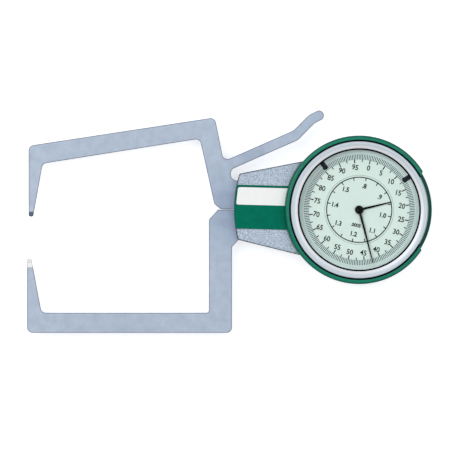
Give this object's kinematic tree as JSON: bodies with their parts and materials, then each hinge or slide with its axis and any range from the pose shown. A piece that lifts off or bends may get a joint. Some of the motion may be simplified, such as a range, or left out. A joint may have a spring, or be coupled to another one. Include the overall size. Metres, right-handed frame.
{
  "type": "external dial caliper gauge",
  "caption": "External dial caliper gauge with angled jaws, a finger lever, a tapered neck and a round dial with long and short hands, a turning bezel and limit markers.",
  "frame": {"origin": "on the dial axis, at the flat back of the case", "axes": "+X from the jaw tips towards the dial, +Y towards the moving arm, +Z out of the dial"},
  "size_m": [0.1922, 0.1056, 0.0225],
  "materials": {
    "case_green": "satin",
    "label_green": "satin",
    "case_grey": "satin",
    "arm_steel": "satin",
    "carbide_dark": "matte",
    "carbide_bright": "satin",
    "steel": "satin",
    "spring_steel": "satin",
    "brass": "satin",
    "bezel_silver": "satin",
    "setting_green": "satin",
    "crystal_clear": "gloss",
    "dial_mint": "matte",
    "hand_black": "satin",
    "marker_navy": "matte"
  },
  "bodies": {
    "case": {"case_body": "case_grey", "neck_cover": "case_grey", "label_plate": "label_green", "guard_ring": "case_green", "back_cover": "case_grey", "fixed_arm": "arm_steel", "fixed_arm_tip": "carbide_bright", "pivot_pin": "steel", "stop_pin": "steel", "arm_return_spring": "spring_steel", "spring_post": "steel", "movement_rear_plate": "brass", "movement_front_plate": "brass", "movement_pillars": "brass", "bezel_leaf_springs": "spring_steel"},
    "measuring_arm": {"moving_arm": "arm_steel", "moving_arm_tip": "carbide_dark", "sector_plate": "brass", "spring_hook": "steel"},
    "intermediate": {"intermediate_arbor": "steel", "intermediate_wheel": "brass"},
    "centre": {"centre_arbor": "steel", "long_hand": "hand_black", "hand_cap": "hand_black"},
    "short": {"short_hand_pipe": "brass", "short_hand": "hand_black"},
    "bezel": {"setting_ring": "setting_green", "bezel_ring": "bezel_silver", "crystal": "crystal_clear", "dial_face": "dial_mint"},
    "left_marker": {"limit_marker_left": "marker_navy"},
    "right_marker": {"limit_marker_right": "marker_navy"}
  },
  "joints": [
    {"name": "arm_swing", "type": "hinge", "parent": "case", "child": "measuring_arm", "pos_m": [-0.05205, 0, 0.00775], "axis": [0, 0, -1], "range_deg": [0, 11.5], "stiffness_Nm_per_rad": 0.25, "springref_deg": -22.92, "deforming": ["arm_return_spring"]},
    {"name": "intermediate_spin", "type": "hinge", "parent": "case", "child": "intermediate", "pos_m": [-0.0108, 0, 0.008], "axis": [0, 0, -1], "range_deg": [-368.1, 0]},
    {"name": "long_hand_spin", "type": "hinge", "parent": "case", "child": "centre", "pos_m": [0, 0, 0.01], "axis": [0, 0, -1], "range_deg": [0, 2944.1]},
    {"name": "short_hand_spin", "type": "hinge", "parent": "case", "child": "short", "pos_m": [0, 0, 0.012], "axis": [0, 0, -1], "range_deg": [0, 368.1]},
    {"name": "bezel_turn", "type": "hinge", "parent": "case", "child": "bezel", "pos_m": [0, 0, 0.017], "axis": [0, 0, -1], "continuous": true},
    {"name": "left_marker_slide", "type": "hinge", "parent": "bezel", "child": "left_marker", "pos_m": [0, 0, 0.0176], "axis": [0, 0, -1], "range_deg": [-125, 40]},
    {"name": "right_marker_slide", "type": "hinge", "parent": "bezel", "child": "right_marker", "pos_m": [0, 0, 0.0176], "axis": [0, 0, -1], "range_deg": [-40, 125]}
  ],
  "couplings": [
    {"joint": "intermediate_spin", "follows": "arm_swing", "ratio": -32},
    {"joint": "long_hand_spin", "follows": "arm_swing", "ratio": 256},
    {"joint": "short_hand_spin", "follows": "arm_swing", "ratio": 32}
  ]
}
